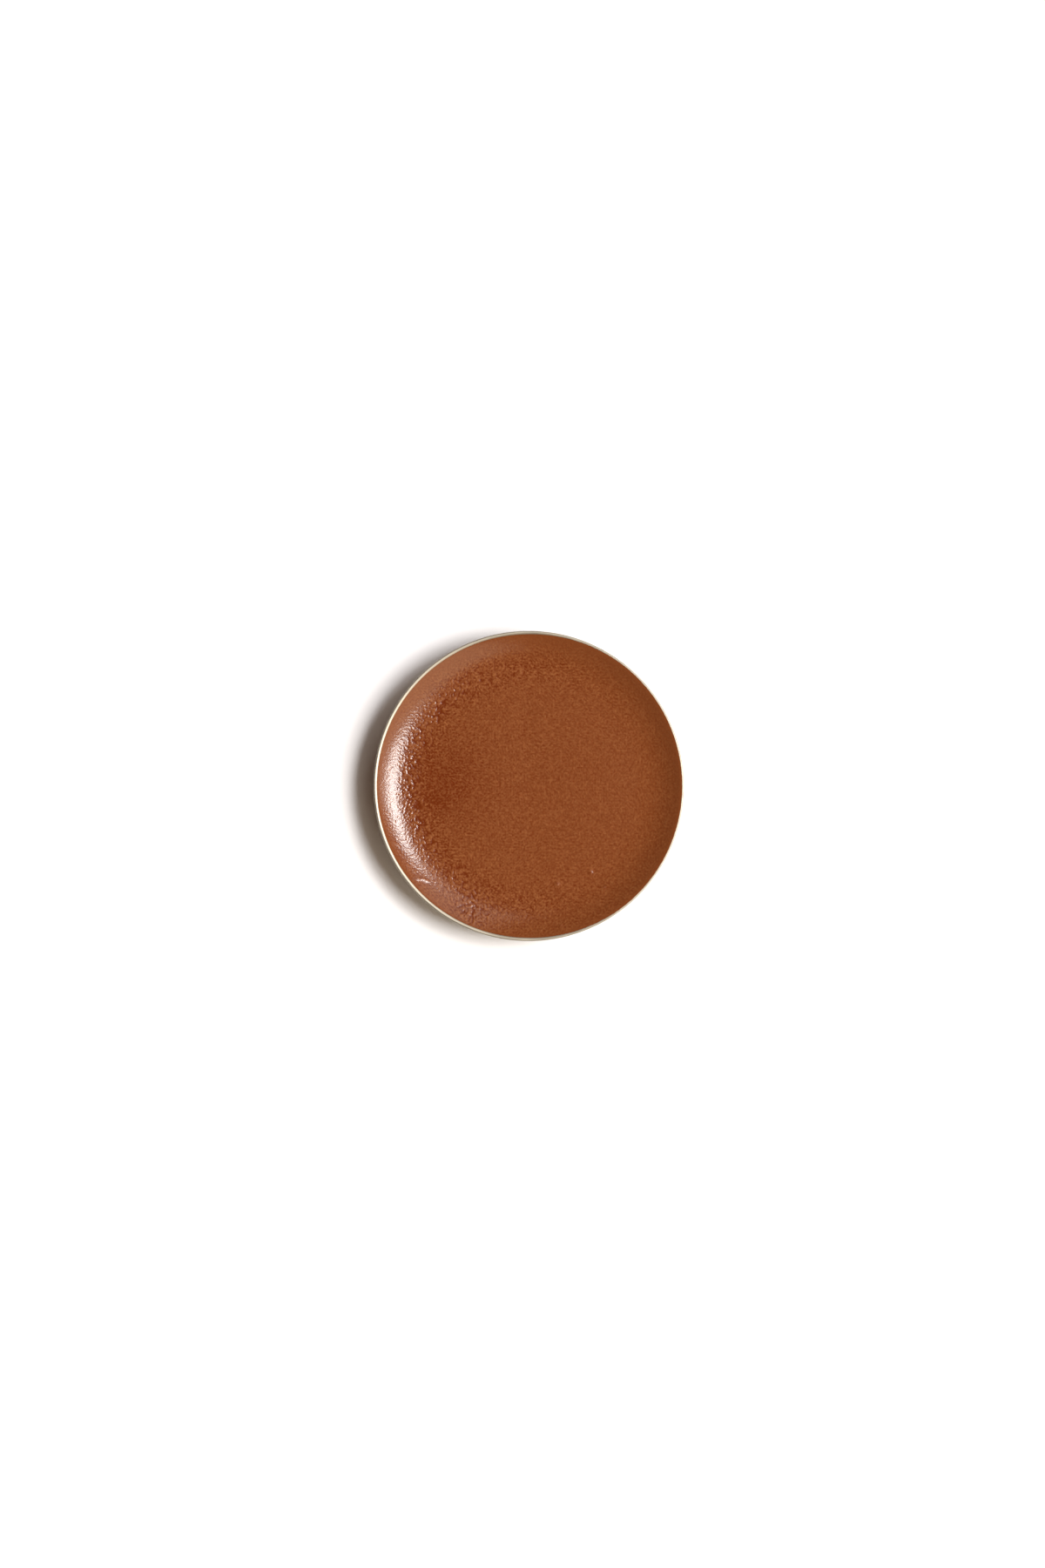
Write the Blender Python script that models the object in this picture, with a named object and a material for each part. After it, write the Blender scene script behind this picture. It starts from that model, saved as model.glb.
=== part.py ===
"""Open shoe polish tin: a shallow drawn tinplate pan with a lip turned outwards and rolled under, the
wax polish cast into it, and the paper label on the recessed panel of its base. Metres, +Z up, origin
at the centre of the plane that the tin stands on."""

import math

import bmesh
import bpy
from mathutils import Matrix

# Driving dimensions.
TIN_RADIUS = 0.034  # outside of the lip
TIN_HEIGHT = 0.009
SHEET = 0.00022  # tinplate thickness
LIP_CORNER = 0.001  # radius of the sheet's middle where the wall turns out into the lip
LIP_ROLL = 0.00017  # radius of the sheet's middle where the lip's edge is rolled under
LIP_ROLL_SWEEP = 150  # degrees that the edge is rolled through, from the lip's top
LIP_CREST = TIN_RADIUS - SHEET / 2 - LIP_ROLL  # distance of the lip's top from the axis
DRAFT = 0.00014  # how much the wall draws in towards the base
BASE_CORNER = 0.0013  # radius of the sheet's middle where wall and base meet
PANEL_STEP = 0.0006  # how far the base panel stands above the standing ring
STANDING_RING = 0.0016  # width of the flat ring that the tin stands on

POLISH_EDGE_ANGLE = 137  # how far up the lip's corner the polish climbs: 180 is its foot, 90 its top
DISH_SLOPE = 0.49  # rise over run of the polish at the wall
DISH_REACH = 0.00555  # distance from the wall over which that slope falls to 37%
DISH_STEPS = (0.25, 0.5, 0.75, 1, 1.3, 1.7, 2.4)  # where the dish's outline has points, in reaches

LABEL_RADIUS = 0.025
LABEL_THICKNESS = 0.00015

GAP = 0.0003  # kept between pieces that touch
ROUND = 72  # facets around the tin
FULL_TURN = 2 * math.pi


def clear_scene():
    for obj in list(bpy.data.objects):
        bpy.data.objects.remove(obj)


def finish(name, colour, roughness, metallic):
    material = bpy.data.materials.new(name)
    material.use_nodes = True
    shader = material.node_tree.nodes["Principled BSDF"]
    shader.inputs["Base Color"].default_value = (*colour, 1)
    shader.inputs["Roughness"].default_value = roughness
    shader.inputs["Metallic"].default_value = metallic
    return material


def arc(centre_r, centre_z, radius, start, end, steps):
    """Points (r, z) on an arc, both ends included. Angles are in degrees from the outward direction."""
    points = []
    for i in range(steps + 1):
        angle = math.radians(start + (end - start) * i / steps)
        points.append((centre_r + radius * math.cos(angle), centre_z + radius * math.sin(angle)))
    return points


def base_and_wall():
    """Middle of the sheet from the axis, along the base and round the corner into the wall."""
    foot_r = LIP_CREST - LIP_CORNER - DRAFT
    corner_r = foot_r - BASE_CORNER
    ring_z = SHEET / 2
    bend = PANEL_STEP / 2  # the step is two opposite 45 degree bends of this radius
    ring_inner_r = corner_r - STANDING_RING
    panel_r = ring_inner_r - 2 * math.sqrt(2) * bend
    bend_z = ring_z + bend
    return [
        (0, ring_z + PANEL_STEP),
        *arc(panel_r, bend_z, bend, 90, 45, 2),
        *arc(ring_inner_r, bend_z, bend, 225, 270, 2),
        *arc(corner_r, ring_z + BASE_CORNER, BASE_CORNER, -90, 0, 4),
    ]


def lip_corner(end, steps):
    """Middle of the sheet where the wall turns outwards. It starts at 180 degrees and is level at 90."""
    return arc(LIP_CREST, TIN_HEIGHT - SHEET / 2 - LIP_CORNER, LIP_CORNER, 180, end, steps)


def offset_inwards(points, distance):
    """The outline moved towards the inside of the tin, which is on its left as it runs outwards."""
    moved = []
    for i, (r, z) in enumerate(points):
        before = points[max(i - 1, 0)]
        after = points[min(i + 1, len(points) - 1)]
        run_r, run_z = after[0] - before[0], after[1] - before[1]
        length = math.hypot(run_r, run_z)
        moved.append((r - distance * run_z / length, z + distance * run_r / length))
    return moved


def dish_height(edge_z, from_wall):
    """Height of the polish at a distance from the wall: highest at the wall, flat in the middle.
    Its slope falls as a bell curve does, so its height follows the curve's integral."""
    depth = DISH_SLOPE * DISH_REACH * math.sqrt(math.pi) / 2
    return edge_z - depth * math.erf(from_wall / DISH_REACH)


def turned(name, outline, material):
    """An object made by spinning an outline of (r, z) points around the Z axis."""
    shape = bmesh.new()
    line = [shape.verts.new((r, 0, z)) for r, z in outline]
    edges = [shape.edges.new(pair) for pair in zip(line, line[1:])]
    bmesh.ops.spin(
        shape,
        geom=line + edges,
        cent=(0, 0, 0),
        axis=(0, 0, 1),
        angle=FULL_TURN,
        steps=ROUND,
        use_merge=True,
    )
    bmesh.ops.remove_doubles(shape, verts=shape.verts, dist=SHEET / 100)
    bmesh.ops.recalc_face_normals(shape, faces=shape.faces)
    mesh = bpy.data.meshes.new(name)
    shape.to_mesh(mesh)
    shape.free()
    mesh.materials.append(material)
    mesh.shade_smooth()
    mesh.set_sharp_from_angle(angle=math.radians(40))
    obj = bpy.data.objects.new(name, mesh)
    bpy.context.scene.collection.objects.link(obj)
    return obj


def tin_pan():
    """Sheet of one thickness, drawn into a pan in one piece with its lip."""
    tinplate = finish("tinplate", (0.72, 0.70, 0.66), 0.28, 1)
    roll = arc(LIP_CREST, TIN_HEIGHT - SHEET / 2 - LIP_ROLL, LIP_ROLL, 90, 90 - LIP_ROLL_SWEEP, 6)
    pan = turned("tin_pan", [*base_and_wall(), *lip_corner(90, 6), *roll[1:]], tinplate)
    wall = pan.modifiers.new("sheet", "SOLIDIFY")
    wall.thickness = SHEET
    wall.offset = 0
    wall.use_even_offset = True


def polish():
    """Wax cast into the pan, which it follows below, with a surface that climbs to the lip."""
    inside = [*base_and_wall(), *lip_corner(POLISH_EDGE_ANGLE, 4)]
    underside = offset_inwards(inside, SHEET / 2 + GAP)
    edge_r, edge_z = underside[-1]
    from_wall = [DISH_REACH * step for step in DISH_STEPS]
    surface = [(edge_r - distance, dish_height(edge_z, distance)) for distance in from_wall]
    axis_point = (0, dish_height(edge_z, edge_r))
    wax = finish("wax_polish", (0.205, 0.052, 0.014), 0.28, 0)
    turned("polish", [(0, underside[0][1]), *underside[1:], *surface, axis_point], wax)


def base_label():
    """Round paper label under the base panel, above the plane that the tin stands on."""
    paper = finish("label_paper", (0.86, 0.84, 0.79), 0.7, 0)
    top = PANEL_STEP - GAP
    bmesh_label = bmesh.new()
    bmesh.ops.create_cone(
        bmesh_label,
        cap_ends=True,
        segments=ROUND,
        radius1=LABEL_RADIUS,
        radius2=LABEL_RADIUS,
        depth=LABEL_THICKNESS,
        matrix=Matrix.Translation((0, 0, top - LABEL_THICKNESS / 2)),
    )
    mesh = bpy.data.meshes.new("base_label")
    bmesh_label.to_mesh(mesh)
    bmesh_label.free()
    mesh.materials.append(paper)
    bpy.context.scene.collection.objects.link(bpy.data.objects.new("base_label", mesh))


clear_scene()
tin_pan()
polish()
base_label()
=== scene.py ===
import math

import bmesh
import bpy
from mathutils import Matrix, Vector, noise


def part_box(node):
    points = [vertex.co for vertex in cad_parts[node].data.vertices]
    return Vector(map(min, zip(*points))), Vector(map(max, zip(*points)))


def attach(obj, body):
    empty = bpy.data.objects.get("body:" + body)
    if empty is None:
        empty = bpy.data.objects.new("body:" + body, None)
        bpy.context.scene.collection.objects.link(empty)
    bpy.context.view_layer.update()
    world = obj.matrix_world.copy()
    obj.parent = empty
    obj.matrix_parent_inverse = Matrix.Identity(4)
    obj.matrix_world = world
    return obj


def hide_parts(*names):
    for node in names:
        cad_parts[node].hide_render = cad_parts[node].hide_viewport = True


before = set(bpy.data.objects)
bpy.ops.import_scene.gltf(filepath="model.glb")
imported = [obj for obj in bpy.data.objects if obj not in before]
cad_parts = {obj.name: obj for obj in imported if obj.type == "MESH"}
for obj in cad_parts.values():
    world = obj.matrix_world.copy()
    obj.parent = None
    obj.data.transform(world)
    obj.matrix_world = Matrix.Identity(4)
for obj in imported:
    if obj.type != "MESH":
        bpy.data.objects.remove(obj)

# Lengths are in metres and angles in degrees, unless a comment says otherwise.
MM = 0.001
FULL_TURN = 2 * math.pi  # radians
SECTOR = math.pi / 3  # radians, a sixth of a turn
TINY = 1e-6

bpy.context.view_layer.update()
pan_low, pan_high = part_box("tin_pan")
label_low, label_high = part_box("base_label")

# The pan. Its bends are where the CAD pan's are, with a tighter lip. Radii are of the sheet's middle.
SHEET = 0.22 * MM
LIP_CORNER = 0.65 * MM
LIP_CORNER_TURN = 90
LIP_CORNER_STEPS = 16
LIP_ROLL = 0.15 * MM
LIP_ROLL_TURN = 150
LIP_ROLL_STEPS = 10
LIP_TOP = pan_high.z
LIP_CREST = (pan_high.x - pan_low.x) / 2 - SHEET / 2 - LIP_ROLL
LIP_CORNER_Z = LIP_TOP - SHEET / 2 - LIP_CORNER  # height of the lip corner's centre
DRAFT = 0.14 * MM  # how much the wall draws in towards the base
BASE_CORNER = 1.3 * MM
BASE_CORNER_TURN = 89  # a right angle, less the lean that the draft gives the wall
BASE_CORNER_STEPS = 8
PANEL_STEP = 0.6 * MM  # how far the base panel stands above the standing ring
PANEL_BEND = PANEL_STEP / 2
PANEL_BEND_TURN = 45
PANEL_BEND_STEPS = 4
STANDING_RING = 1.6 * MM
PAN_STEPS = 360
MERGE = SHEET / 100  # points closer than this are one point

# The wax's edge. It meets the lip where the lip has a certain tilt. That tilt is less on the right,
# where the wax has crept up over the lip.
LIP_INSIDE = LIP_CORNER + SHEET / 2
WAX_MEETS = 38  # tilt of the lip there
WAX_CREEP = 33  # how much less it is where the wax has crept furthest
CREEP_WIDTH = 1.6  # above 1, the full creep is reached before the far right
WAX_RADIUS = LIP_CREST - LIP_INSIDE * math.sin(math.radians(WAX_MEETS))
WAX_GAP = 0.015 * MM  # between wax and pan, below the edge

# The wax's dish. A lean is how much a value changes from the middle to the far right.
DISH_SLOPE = 0.51  # rise over run at the wall
DISH_SLOPE_LEAN = 0.04
DISH_REACH = 5.5 * MM  # distance from the wall over which the slope falls to 37%
DISH_REACH_LEAN = 0.45 * MM
MENISCUS = 0.07 * MM  # extra height of the last of the climb
MENISCUS_REACH = 0.3 * MM
OVERFLOW = 0.2 * MM  # how much fuller the wax is behind an edge that has crept up

# The wax's mesh. It is a hexagon of triangles made round, finer at the edge and on the left.
WAX_RINGS = 168
RING_CROWDING = 0.3
SIDE_CROWDING = 0.25
BEHIND_EDGE = (52, 65, 78)  # tilts of the lip at which the wax's side follows it down
FOOT_INSET = 0.6  # how far in the wax's foot is, in base corners
WAX_SHARP = 35  # edges with a greater bend are drawn sharp

# The wax's relief: a net of thin low ridges over small bumps, and beads that push the net aside.
NET_SIZE = 0.6 * MM
NET_SHIFT = Vector((31, 7, 3))  # keeps the net's noise apart from that of the bumps
NET_LINE = 0.22  # half width of a ridge, in the noise's range
NET_HEIGHT = 0.75
NET_LEVEL = 0.3  # lowers the net, so that its mean height is about zero
NET_LOSS = 0.5  # share of the net that goes where beads are fully grown
BUMP_SIZE = 0.38 * MM
BUMP_HEIGHT = 0.9
BEAD_SIZE = 0.62 * MM
BEAD_HEIGHT = 1.1
BEAD_TOP = 0.5
BEAD_CURVE = 2
RELIEF_HEIGHT = 0.04 * MM
RELIEF_STRENGTH = 0.5
RELIEF_LEAN = 0.12
BEADED_STRENGTH = 1.7
EDGE_STRENGTH = 0.15  # share of the relief that is left at the wall
MARGIN = 3  # mm over which the relief grows from the wall inwards
MARGIN_LEAN = 2  # mm that the margin gains towards +Y, and loses towards -Y

# Where the wax is beaded.
BAND_FROM_WALL = 7.6 * MM
BAND_WIDTH = 2.8 * MM
PATCH = (-12.9, -27.6, 3.2)  # x, y and radius in mm
PATCH_BEADING = 0.9

# Marks in the wax.
BLISTERS = ((13.6, -19, 0.45), (16.5, -22.4, 0.35), (6.2, -21.6, 0.45), (7.1, -30.6, 0.3), (17.4, -26.4, 0.3),
            (25.4, 11.9, 0.35))  # x, y and radius in mm
BLISTER_HEIGHT = 0.33 * MM  # for a radius of 1 mm
FOLD_X, FOLD_Y = -23.6, -20.4  # middle of the fold, in mm
FOLD_LEAN, FOLD_BEND = 0.12, 0.16  # its slope, and its curve for each mm along it
FOLD_HALF_WIDTH, FOLD_HALF_LENGTH = 0.4, 1.5  # mm
FOLD_HEIGHT = 0.075 * MM

# The wax's tone, from 0 for the dark end of its colours to 1 for the pale end. Besides the wax's own mottle
# it holds painted shade in the relief's pits, painted sheen on its crests, and a patch of painted shade.
TONE_MIDDLE = 0.49
# The swing is partly the wax's own mottle, partly painted shade in the pits and painted sheen on the crests.
TONE_SWING = 1.1
TONE_LIMIT = 0.9  # strength of relief past which the tone swings no further
# Painted shade: a patch left of the middle is drawn darker, where the wax mirrors less light.
SHADE_TONE = 0.45
BROAD_SHADE, BROAD_SHARE = (-19, 1, 8.5), 0.6  # x, y and radius in mm
SMALL_SHADE, SMALL_SHARE = (-19.6, -3.7, 2.2), 0.4

LABEL_STEPS = 180
LABEL_SHARP = 40

# The light and the view.
LIGHT_ELEVATION = 55
WINDOW_COLOUR = (1, 0.99, 0.97)
REFLECTOR_DISTANCE = 0.6
ROOM_COLOUR = (1, 0.58, 0.36, 1)
ROOM_STRENGTH = 0.11
FLOOR_SIZE = 4  # from its middle to a side
LENS, SENSOR = 50, 36  # mm
CAMERA_CLIP = 0.01
CAMERA_HEIGHT = 477.2 * MM  # above the lip
CAMERA_OFFSET = Vector((-1.35, 0.43, 0)) * MM


# Materials


def linear(hex_colour):
    """A colour given as sRGB hex, as the linear colour that a shader takes."""
    channels = []
    for start in (1, 3, 5):
        value = int(hex_colour[start:start + 2], 16) / 255
        channels.append(value / 12.92 if value <= 0.04045 else ((value + 0.055) / 1.055) ** 2.4)
    return (*channels, 1)


def add(tree, kind, settings=None, links=None):
    """Adds a node to a material. A setting is a property, an input's value, or the two (position,
    colour) stops of a colour ramp; a link feeds an input."""
    node = tree.nodes.new("ShaderNode" + kind)
    for name, value in (settings or {}).items():
        if name == "stops":
            for element, (position, colour) in zip(node.color_ramp.elements, value):
                element.position, element.color = position, colour
        elif isinstance(name, str) and hasattr(node, name):
            setattr(node, name, value)
        else:
            node.inputs[name].default_value = value
    for name, output in (links or {}).items():
        tree.links.new(output, node.inputs[name])
    return node


def new_material(name):
    """An empty material and its tree."""
    material = bpy.data.materials.new(name)
    material.use_nodes = True
    tree = material.node_tree
    tree.nodes.clear()
    return material, tree


def tinplate():
    """Bare tinplate, rolled steel with a thin coat of tin. It gives a satin metal, a slightly warm grey
    with soft clouds. Rolling marks are too fine to show, so they are drawn 0.12 mm wide."""
    mark_length, mark_width, cloud_size = 3 * MM, 0.12 * MM, 5 * MM
    material, tree = new_material("bare_tinplate")
    place = add(tree, "TexCoord").outputs["Object"]
    along = add(tree, "Mapping", {"Scale": (1 / mark_length, 1 / mark_width, 1 / mark_length)},
                {"Vector": place})
    rolling = add(tree, "TexNoise", {"Scale": 1, "Detail": 3}, {"Vector": along.outputs["Vector"]})
    clouds = add(tree, "TexNoise", {"Scale": 1 / cloud_size, "Detail": 4}, {"Vector": place})
    tone = add(tree, "ValToRGB", {"stops": [(0.3, linear("#A69F92")), (0.7, linear("#B6AFA1"))]},
               {"Fac": clouds.outputs["Fac"]})
    rough = add(tree, "MapRange", {"From Min": 0.3, "From Max": 0.7, "To Min": 0.48, "To Max": 0.58},
                {"Value": clouds.outputs["Fac"]})
    bump = add(tree, "Bump", {"Strength": 0.15, "Distance": 0.01 * MM}, {"Height": rolling.outputs["Fac"]})
    shader = add(tree, "BsdfPrincipled", {"Metallic": 1},
                 {"Base Color": tone.outputs["Color"], "Roughness": rough.outputs["Result"],
                  "Normal": bump.outputs["Normal"]})
    add(tree, "OutputMaterial", links={"Surface": shader.outputs["BSDF"]})
    return material


def wax():
    """Paste wax, poured hot and set. It gives a glossy brown that mirrors the window softly, with a little
    light let in.
    Its colour is painted paler on the crests of its relief as sheen and darker in its pits as shade, with a
    patch of painted shade on the left. Its own grain is too fine to show, so it is drawn 0.25 mm wide."""
    grain_size = 0.25 * MM
    material, tree = new_material("paste_wax")
    place = add(tree, "TexCoord").outputs["Object"]
    # The tone carries painted shade and painted sheen, as well as the wax's own mottle.
    height = add(tree, "Attribute", {"attribute_name": "tone"})
    tone = add(tree, "ValToRGB", {"stops": [(0, linear("#632707")), (1, linear("#8A532F"))]},
               {"Fac": height.outputs["Fac"]})
    grain = add(tree, "TexNoise", {"Scale": 1 / grain_size, "Detail": 2}, {"Vector": place})
    bump = add(tree, "Bump", {"Strength": 1, "Distance": 0.02 * MM}, {"Height": grain.outputs["Fac"]})
    shader = add(
        tree,
        "BsdfPrincipled",
        {"Roughness": 0.19, "IOR": 1.48, "Subsurface Weight": 0.08, "Subsurface Radius": (1, 0.4, 0.2),
         "Subsurface Scale": 0.5 * MM},
        {"Base Color": tone.outputs["Color"], "Normal": bump.outputs["Normal"]},
    )
    add(tree, "OutputMaterial", links={"Surface": shader.outputs["BSDF"]})
    return material


def paper():
    """Uncoated paper, pressed from fibres. It gives a matt off-white with a faint mottle. Fibres are too
    fine to show, so the mottle is drawn 0.2 mm wide."""
    mottle_size = 0.2 * MM
    material, tree = new_material("uncoated_paper")
    place = add(tree, "TexCoord").outputs["Object"]
    fibres = add(tree, "TexNoise", {"Scale": 1 / mottle_size, "Detail": 5}, {"Vector": place})
    tone = add(tree, "ValToRGB", {"stops": [(0.3, linear("#E2DED3")), (0.7, linear("#EEEBE2"))]},
               {"Fac": fibres.outputs["Fac"]})
    bump = add(tree, "Bump", {"Strength": 0.4, "Distance": 0.02 * MM}, {"Height": fibres.outputs["Fac"]})
    shader = add(tree, "BsdfPrincipled", {"Roughness": 0.8, "IOR": 1.5},
                 {"Base Color": tone.outputs["Color"], "Normal": bump.outputs["Normal"]})
    add(tree, "OutputMaterial", links={"Surface": shader.outputs["BSDF"]})
    return material


def white_board():
    """Matt white board that the tin stands on. It gives a blank ground that shows only the shadow."""
    material, tree = new_material("white_board")
    shader = add(tree, "BsdfPrincipled", {"Base Color": linear("#EFEFF3"), "Roughness": 0.9})
    add(tree, "OutputMaterial", links={"Surface": shader.outputs["BSDF"]})
    return material


# Pieces


def piece(name, bm, material, node):
    """Finishes a piece's mesh as an object that stands for its CAD node."""
    mesh = bpy.data.meshes.new(name)
    bm.to_mesh(mesh)
    bm.free()
    mesh.materials.append(material)
    mesh.shade_smooth()
    obj = bpy.data.objects.new(name, mesh)
    bpy.context.scene.collection.objects.link(obj)
    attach(obj, "root")
    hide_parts(node)
    return obj


def round_corner(bm, vert, radius, turn, segments):
    """Rounds a corner of an outline to a radius. turn is the angle that the outline turns by there."""
    offset = radius * math.tan(math.radians(turn) / 2)
    bmesh.ops.bevel(bm, geom=[vert], offset=offset, segments=segments, profile=0.5, affect="VERTICES",
                    material=-1)


def tin_pan():
    """One sheet, drawn into a pan, with its lip turned out and the edge of the lip rolled under."""
    bm = bmesh.new()
    wall_radius = LIP_CREST - LIP_CORNER
    foot_radius = wall_radius - DRAFT
    ring_z = SHEET / 2
    panel_z = ring_z + PANEL_STEP
    ring_inner = foot_radius - BASE_CORNER - STANDING_RING
    roll_z = LIP_TOP - SHEET / 2 - LIP_ROLL
    corners = [(0, panel_z), (ring_inner - PANEL_STEP, panel_z), (ring_inner, ring_z), (foot_radius, ring_z),
               (wall_radius, LIP_CORNER_Z)]
    line = [bm.verts.new((r, 0, z)) for r, z in corners]
    for pair in zip(line, line[1:]):
        bm.edges.new(pair)
    turned = bmesh.ops.spin(bm, geom=[line[-1]], cent=(LIP_CREST, 0, LIP_CORNER_Z), axis=(0, 1, 0),
                            angle=math.radians(LIP_CORNER_TURN), steps=LIP_CORNER_STEPS)
    bmesh.ops.spin(bm, geom=turned["geom_last"], cent=(LIP_CREST, 0, roll_z), axis=(0, 1, 0),
                   angle=math.radians(LIP_ROLL_TURN), steps=LIP_ROLL_STEPS)
    round_corner(bm, line[1], PANEL_BEND, PANEL_BEND_TURN, PANEL_BEND_STEPS)
    round_corner(bm, line[2], PANEL_BEND, PANEL_BEND_TURN, PANEL_BEND_STEPS)
    round_corner(bm, line[3], BASE_CORNER, BASE_CORNER_TURN, BASE_CORNER_STEPS)
    bmesh.ops.spin(bm, geom=bm.verts[:] + bm.edges[:], cent=(0, 0, 0), axis=(0, 0, 1), angle=FULL_TURN,
                   steps=PAN_STEPS, use_merge=True)
    bmesh.ops.remove_doubles(bm, verts=bm.verts, dist=MERGE)
    bmesh.ops.recalc_face_normals(bm, faces=bm.faces)
    pan = piece("pan", bm, tinplate(), "tin_pan")
    sheet = pan.modifiers.new("sheet", "SOLIDIFY")
    sheet.thickness = SHEET
    sheet.offset = 0
    sheet.use_even_offset = True


def creep(side):
    """How far the wax has crept over the lip, from 0 to 1. side is -1 at the far left, 1 at the right."""
    return min(1, CREEP_WIDTH * max(0, side))


def wax_edge(side):
    """Radius and height at which the wax meets the lip."""
    tilt = math.radians(WAX_MEETS - WAX_CREEP * creep(side))
    return LIP_CREST - LIP_INSIDE * math.sin(tilt), LIP_TOP - LIP_INSIDE * (1 - math.cos(tilt))


def dish(side, from_wall):
    """Height of the set wax: a flat middle, and a climb to the wall that is gentler on the right."""
    slope = DISH_SLOPE - DISH_SLOPE_LEAN * side
    reach = DISH_REACH + DISH_REACH_LEAN * side
    depth = slope * reach * math.sqrt(math.pi) / 2
    film = OVERFLOW * creep(side) - MENISCUS
    behind_edge = 1 - math.exp(-from_wall / MENISCUS_REACH)
    return wax_edge(side)[1] - depth * math.erf(from_wall / reach) + film * behind_edge


def spot(place, x, y, radius):
    """Strength of a soft round spot at a place: 1 in its middle. x, y and radius are in mm."""
    apart = (place - Vector((x, y, 0)) * MM).length / (radius * MM)
    return math.exp(-apart * apart)


def relief(place, beaded):
    """Height of the wax's fine relief: mostly from -1 to 1, and lower in the gaps between beads."""
    ridge = 1 - min(1, abs(noise.noise(place / NET_SIZE + NET_SHIFT)) / NET_LINE)
    bump = noise.noise(place / BUMP_SIZE)
    to_bead = noise.voronoi(place / BEAD_SIZE)[0][0]
    net = 1 - NET_LOSS * min(1, beaded)
    bead = BEAD_TOP - BEAD_CURVE * to_bead * to_bead
    return net * (NET_HEIGHT * ridge - NET_LEVEL + BUMP_HEIGHT * bump) + BEAD_HEIGHT * beaded * bead


def beading(place, from_wall):
    """How beaded the wax is, from 0 to about 1: in a band along the left wall, and in a small patch."""
    left = 0.5 - 0.5 * place.x / WAX_RADIUS
    band = (from_wall - BAND_FROM_WALL) / BAND_WIDTH
    return left ** 2 * math.exp(-band * band) + PATCH_BEADING * spot(place, *PATCH)


def marks(place):
    """Height of the few blisters in the surface, and of one short fold beside the wall."""
    height = 0
    for x, y, size in BLISTERS:
        height += BLISTER_HEIGHT * size * spot(place, x, y, size)
    along = place.x / MM - FOLD_X
    across = (place.y / MM - FOLD_Y + FOLD_LEAN * along + FOLD_BEND * along * along) / FOLD_HALF_WIDTH
    return height + FOLD_HEIGHT * math.exp(-across * across - (along / FOLD_HALF_LENGTH) ** 4)


def painted_shade(place):
    """How much painted shade darkens the wax, from 0 to 1: a broad patch beside the wall and a spot within
    it, where the wax mirrors less light.
    """
    return BROAD_SHARE * spot(place, *BROAD_SHADE) + SMALL_SHARE * spot(place, *SMALL_SHADE)


def round_place(point):
    """Where a point of the hexagon goes in the circle: its direction, in radians, and its distance out
    from the middle, from 0 to 1."""
    angle = math.atan2(point.y, point.x) % FULL_TURN
    first = math.floor(angle / SECTOR + TINY) * SECTOR
    aside = angle - first - SECTOR / 2
    across = point.length * math.cos(aside)
    ring = across / math.cos(SECTOR / 2)
    share = 0.5 + across * math.tan(aside) / ring if ring > TINY else 0
    turned = first + share * SECTOR
    turned += SIDE_CROWDING * math.sin(turned)
    return turned, ring * (1 + RING_CROWDING * (1 - ring))


def wax_surface(bm):
    """Gives the flat hexagon the wax's round outline, its dish and its relief, and notes its tone, which
    holds painted shade and painted sheen.
    """
    tone = bm.verts.layers.float.new("tone")
    for vert in bm.verts:
        turned, out = round_place(vert.co)
        edge_radius = wax_edge(math.cos(turned))[0]
        radius = edge_radius * out
        vert.co = Vector((radius * math.cos(turned), radius * math.sin(turned), 0))
        from_wall = max(0, edge_radius - radius)
        beaded = beading(vert.co, from_wall)
        bumps = relief(vert.co, beaded)
        margin = (MARGIN + MARGIN_LEAN * vert.co.y / WAX_RADIUS) * MM
        fade = min(1, EDGE_STRENGTH + (1 - EDGE_STRENGTH) * from_wall / margin)
        strength = fade * (RELIEF_STRENGTH - RELIEF_LEAN * vert.co.x / WAX_RADIUS + BEADED_STRENGTH * beaded)
        # Painted shade in the relief's pits and painted sheen on its crests, partly over the wax's own
        # mottle.
        shade_and_sheen = TONE_SWING * min(TONE_LIMIT, strength) * bumps
        # The patch on the left is painted shade, drawn darker where the wax mirrors less light.
        vert[tone] = TONE_MIDDLE + shade_and_sheen - SHADE_TONE * painted_shade(vert.co)
        height = dish(out * math.cos(turned), from_wall)
        vert.co.z = height + RELIEF_HEIGHT * strength * bumps + marks(vert.co)


def wax_side(bm):
    """Carries the wax's edge down inside the pan, and closes it above the base panel."""
    away = LIP_CORNER + SHEET / 2 + WAX_GAP
    side_radius = LIP_CREST - LIP_CORNER - SHEET / 2 - WAX_GAP
    foot_radius = side_radius - DRAFT
    side = [(LIP_CORNER_Z + away * math.cos(tilt), LIP_CREST - away * math.sin(tilt))
            for tilt in map(math.radians, BEHIND_EDGE)]
    side += [(LIP_CORNER_Z, side_radius),
             (SHEET + BASE_CORNER, foot_radius),
             (PANEL_STEP + SHEET + WAX_GAP, foot_radius - BASE_CORNER * FOOT_INSET)]
    edge = [e for e in bm.edges if e.is_boundary]
    for z, radius in side:
        made = bmesh.ops.extrude_edge_only(bm, edges=edge)["geom"]
        edge = [g for g in made if isinstance(g, bmesh.types.BMEdge) and g.is_boundary]
        for vert in {v for e in edge for v in e.verts}:
            scale = radius / math.hypot(vert.co.x, vert.co.y)
            vert.co = Vector((vert.co.x * scale, vert.co.y * scale, z))
    bmesh.ops.edgeloop_fill(bm, edges=edge)


def polish():
    """Wax cast into the pan."""
    bm = bmesh.new()
    corner_on_x = Matrix.Rotation(SECTOR / 2, 4, "Z")
    bmesh.ops.create_circle(bm, cap_ends=True, cap_tris=True, segments=6, radius=1, matrix=corner_on_x)
    bmesh.ops.subdivide_edges(bm, edges=bm.edges[:], cuts=WAX_RINGS - 1, use_grid_fill=True)
    wax_surface(bm)
    wax_side(bm)
    bmesh.ops.recalc_face_normals(bm, faces=bm.faces)
    cast = piece("wax", bm, wax(), "polish")
    cast.data.set_sharp_from_angle(angle=math.radians(WAX_SHARP))


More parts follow.
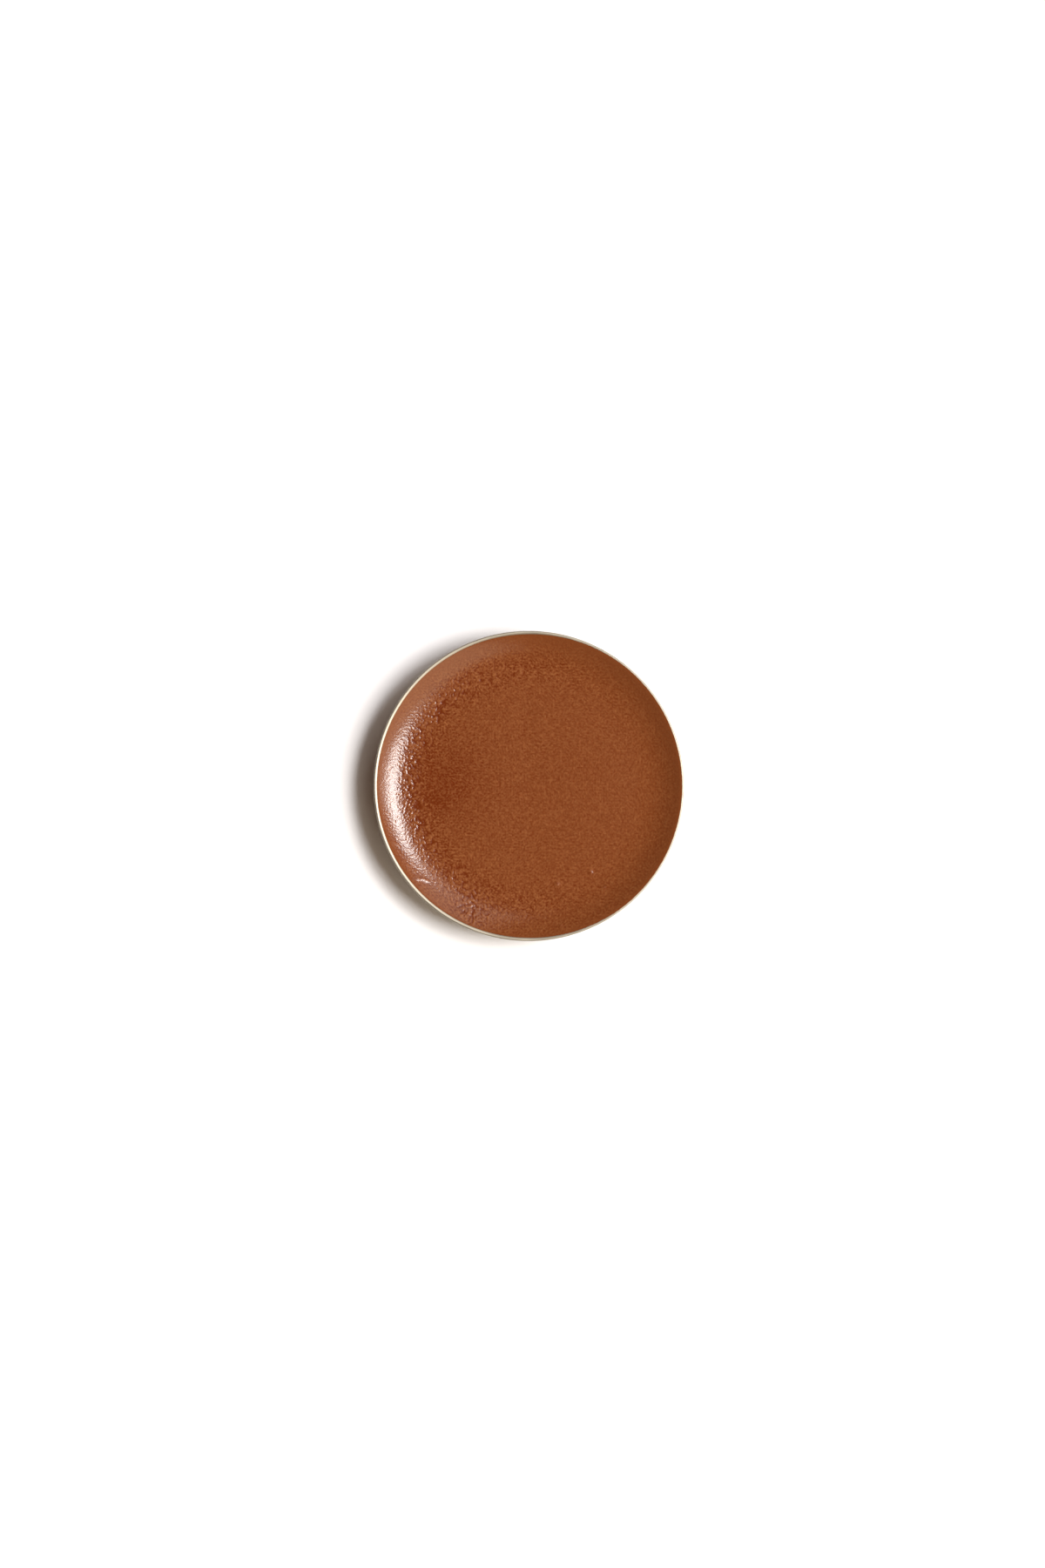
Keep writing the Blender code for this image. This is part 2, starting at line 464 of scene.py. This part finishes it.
def base_label():
    """Blank label on the base panel."""
    bm = bmesh.new()
    radius = (label_high.x - label_low.x) / 2
    bmesh.ops.create_circle(bm, cap_ends=True, segments=LABEL_STEPS, radius=radius)
    for vert in bm.verts:
        vert.co.z = label_low.z
    made = bmesh.ops.extrude_face_region(bm, geom=bm.faces[:])["geom"]
    for vert in (g for g in made if isinstance(g, bmesh.types.BMVert)):
        vert.co.z = label_high.z
    bmesh.ops.recalc_face_normals(bm, faces=bm.faces)
    label = piece("label", bm, paper(), "base_label")
    label.data.set_sharp_from_angle(angle=math.radians(LABEL_SHARP))


# Floor, light and camera


def floor():
    """Level ground that the tin stands on."""
    bm = bmesh.new()
    bmesh.ops.create_grid(bm, x_segments=1, y_segments=1, size=FLOOR_SIZE)
    mesh = bpy.data.meshes.new("floor")
    bm.to_mesh(mesh)
    bm.free()
    mesh.materials.append(white_board())
    obj = bpy.data.objects.new("floor", mesh)
    bpy.context.scene.collection.objects.link(obj)


def towards(azimuth, elevation):
    """Direction to a light from the tin."""
    around, up = math.radians(azimuth), math.radians(elevation)
    return Vector((math.cos(up) * math.cos(around), math.cos(up) * math.sin(around), math.sin(up)))


def lamp(name, azimuth, energy, spread):
    """One pane of the window that lights the tin, as a round distant light."""
    data = bpy.data.lights.new(name, "SUN")
    data.energy = energy
    data.angle = math.radians(spread)
    data.color = WINDOW_COLOUR
    obj = bpy.data.objects.new(name, data)
    obj.rotation_euler = towards(azimuth, LIGHT_ELEVATION).to_track_quat("Z", "Y").to_euler()
    bpy.context.scene.collection.objects.link(obj)


def reflector(name, azimuth, elevation, width, height, radiance, colour):
    """A pale sheet beside the tin, which lights it softly."""
    data = bpy.data.lights.new(name, "AREA")
    data.shape = "RECTANGLE"
    data.size, data.size_y = width, height
    data.energy = radiance * math.pi * data.size * data.size_y
    data.color = colour
    obj = bpy.data.objects.new(name, data)
    obj.location = REFLECTOR_DISTANCE * towards(azimuth, elevation)
    obj.rotation_euler = obj.location.to_track_quat("Z", "Y").to_euler()
    bpy.context.scene.collection.objects.link(obj)


def surroundings():
    """A dim warm room that lights the tin, and a white one that the camera sees."""
    world = bpy.data.worlds.new("room")
    world.use_nodes = True
    tree = world.node_tree
    tree.nodes.clear()
    dim = add(tree, "Background", {"Color": ROOM_COLOUR, "Strength": ROOM_STRENGTH})
    pale = add(tree, "Background", {"Color": (1, 1, 1, 1), "Strength": 1})
    ray = add(tree, "LightPath")
    mix = add(tree, "MixShader",
              links={0: ray.outputs["Is Camera Ray"], 1: dim.outputs[0], 2: pale.outputs[0]})
    add(tree, "OutputWorld", links={"Surface": mix.outputs[0]})
    bpy.context.scene.world = world


def camera():
    """A camera that looks straight down on the tin."""
    data = bpy.data.cameras.new("camera")
    data.lens = LENS
    data.sensor_width = SENSOR
    data.clip_start = CAMERA_CLIP
    obj = bpy.data.objects.new("camera", data)
    obj.location = CAMERA_OFFSET + Vector((0, 0, LIP_TOP + CAMERA_HEIGHT))
    bpy.context.scene.collection.objects.link(obj)
    bpy.context.scene.camera = obj


camera()
surroundings()
lamp("window", azimuth=0, energy=3.0, spread=23)
lamp("window_side", azimuth=24, energy=0.85, spread=13)
reflector("low_reflector", azimuth=-32, elevation=40, width=0.75, height=0.6, radiance=1.45,
          colour=(1, 0.88, 0.66))
reflector("side_reflector", azimuth=55, elevation=52, width=0.25, height=0.45, radiance=1.5,
          colour=(1, 0.94, 0.84))
floor()
tin_pan()
polish()
base_label()

bpy.context.scene.view_settings.view_transform = "Standard"
